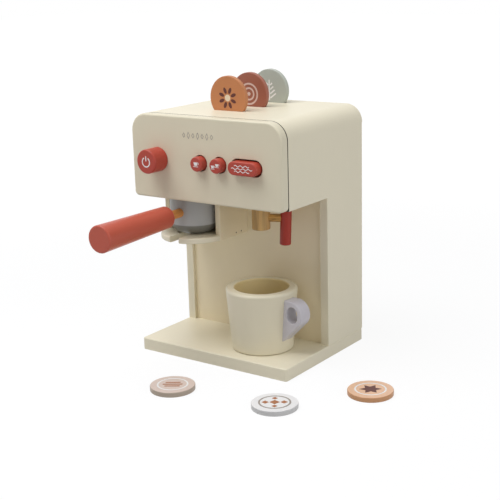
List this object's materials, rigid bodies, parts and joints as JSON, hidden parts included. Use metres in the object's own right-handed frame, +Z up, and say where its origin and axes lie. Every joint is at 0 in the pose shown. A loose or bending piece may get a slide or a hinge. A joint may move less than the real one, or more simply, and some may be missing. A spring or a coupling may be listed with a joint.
{
  "type": "toy coffee maker",
  "caption": "Toy espresso machine of painted boards with push buttons, a turning knob, a pull-out portafilter, a swivelling steam wand, a cup and printed discs in slots.",
  "frame": {"origin": "middle of the base board's underside", "axes": "+X to the right seen from the front, +Y to the back, +Z up"},
  "size_m": [0.2838, 0.2533, 0.2821],
  "materials": {
    "cream_paint": "satin cream paint on smooth board",
    "natural_wood": "sanded natural beech",
    "steel": "bright steel wire",
    "grey_paint": "satin grey paint on turned wood",
    "terracotta_paint": "satin terracotta paint on turned wood",
    "deep_red_paint": "satin deep red paint on a dowel",
    "lavender_grey_paint": "satin pale lavender grey paint",
    "orange_paint": "satin orange paint with a printed picture",
    "brown_paint": "satin brown paint with a printed picture",
    "sage_paint": "satin sage grey paint with a printed picture",
    "beige_paint": "satin beige paint with a printed picture",
    "white_paint": "satin white paint with a printed picture",
    "peach_paint": "satin peach paint with a printed picture"
  },
  "bodies": {
    "housing": {"base_board": "cream_paint", "base_dowels": "natural_wood", "left_side_panel": "cream_paint", "right_side_panel": "cream_paint", "left_corner_rail": "cream_paint", "right_corner_rail": "cream_paint", "top_panel": "cream_paint", "front_panel": "cream_paint", "back_panel": "cream_paint", "column_front_panel": "cream_paint", "head_floor_panel": "cream_paint", "holder_left_wall": "cream_paint", "holder_right_wall": "cream_paint", "holder_floor_plate": "cream_paint", "holder_brads": "steel", "button_rail": "natural_wood", "rail_spacers": "natural_wood", "one_cup_spring": "steel", "two_cup_spring": "steel", "wide_button_springs": "steel"},
    "knob": {"power_knob": "terracotta_paint", "knob_axle": "natural_wood", "knob_collar": "natural_wood"},
    "one_cup_key": {"one_cup_button": "terracotta_paint", "one_cup_retainer": "natural_wood"},
    "two_cup_key": {"two_cup_button": "terracotta_paint", "two_cup_retainer": "natural_wood"},
    "wide_key": {"wide_button": "terracotta_paint", "wide_retainer": "natural_wood"},
    "spout_slide": {"spout_peg": "grey_paint"},
    "portafilter": {"filter_basket": "grey_paint", "neck_dowel": "natural_wood", "portafilter_handle": "terracotta_paint"},
    "steam_wand": {"wand_post": "natural_wood", "post_washer": "natural_wood", "wand_arm": "natural_wood", "wand_tube": "deep_red_paint"},
    "cup": {"cup_body": "cream_paint", "cup_handle": "lavender_grey_paint"},
    "front_disc": {"front_slot_disc": "orange_paint"},
    "middle_disc": {"middle_slot_disc": "brown_paint"},
    "rear_disc": {"rear_slot_disc": "sage_paint"},
    "left_loose_disc": {"left_floor_disc": "beige_paint"},
    "middle_loose_disc": {"middle_floor_disc": "white_paint"},
    "right_loose_disc": {"right_floor_disc": "peach_paint"}
  },
  "joints": [
    {"name": "knob_turn", "type": "hinge", "parent": "housing", "child": "knob", "pos_m": [-0.0566, -0.0725, 0.204], "axis": [0, 1, 0], "continuous": true},
    {"name": "one_cup_press", "type": "slide", "parent": "housing", "child": "one_cup_key", "axis": [0, 1, 0], "range_m": [0, 0.004], "stiffness_N_per_m": 150, "springref_m": -0.004, "deforming": ["one_cup_spring"]},
    {"name": "two_cup_press", "type": "slide", "parent": "housing", "child": "two_cup_key", "axis": [0, 1, 0], "range_m": [0, 0.004], "stiffness_N_per_m": 150, "springref_m": -0.004, "deforming": ["two_cup_spring"]},
    {"name": "wide_press", "type": "slide", "parent": "housing", "child": "wide_key", "axis": [0, 1, 0], "range_m": [0, 0.004], "stiffness_N_per_m": 150, "springref_m": -0.004, "deforming": ["wide_button_springs"]},
    {"name": "portafilter_pull", "type": "slide", "parent": "housing", "child": "spout_slide", "axis": [0, -1, 0], "range_m": [0, 0.075]},
    {"name": "portafilter_turn", "type": "hinge", "parent": "spout_slide", "child": "portafilter", "pos_m": [-0.045, -0.0335, 0.125], "axis": [0, 0, 1], "range_deg": [-60, 60]},
    {"name": "wand_swivel", "type": "hinge", "parent": "housing", "child": "steam_wand", "pos_m": [0.035, -0.03, 0.15], "axis": [0, 0, 1], "continuous": true},
    {"name": "cup_lift", "type": "slide", "parent": "housing", "child": "cup", "axis": [0, 0, 1], "range_m": [0, 0.04]},
    {"name": "front_disc_lift", "type": "slide", "parent": "housing", "child": "front_disc", "axis": [0, 0, 1], "range_m": [0, 0.04]},
    {"name": "middle_disc_lift", "type": "slide", "parent": "housing", "child": "middle_disc", "axis": [0, 0, 1], "range_m": [0, 0.04]},
    {"name": "rear_disc_lift", "type": "slide", "parent": "housing", "child": "rear_disc", "axis": [0, 0, 1], "range_m": [0, 0.04]},
    {"name": "left_loose_disc_lift", "type": "slide", "parent": "housing", "child": "left_loose_disc", "axis": [0, 0, 1], "range_m": [0, 0.03]},
    {"name": "middle_loose_disc_lift", "type": "slide", "parent": "housing", "child": "middle_loose_disc", "axis": [0, 0, 1], "range_m": [0, 0.03]},
    {"name": "right_loose_disc_lift", "type": "slide", "parent": "housing", "child": "right_loose_disc", "axis": [0, 0, 1], "range_m": [0, 0.03]}
  ]
}
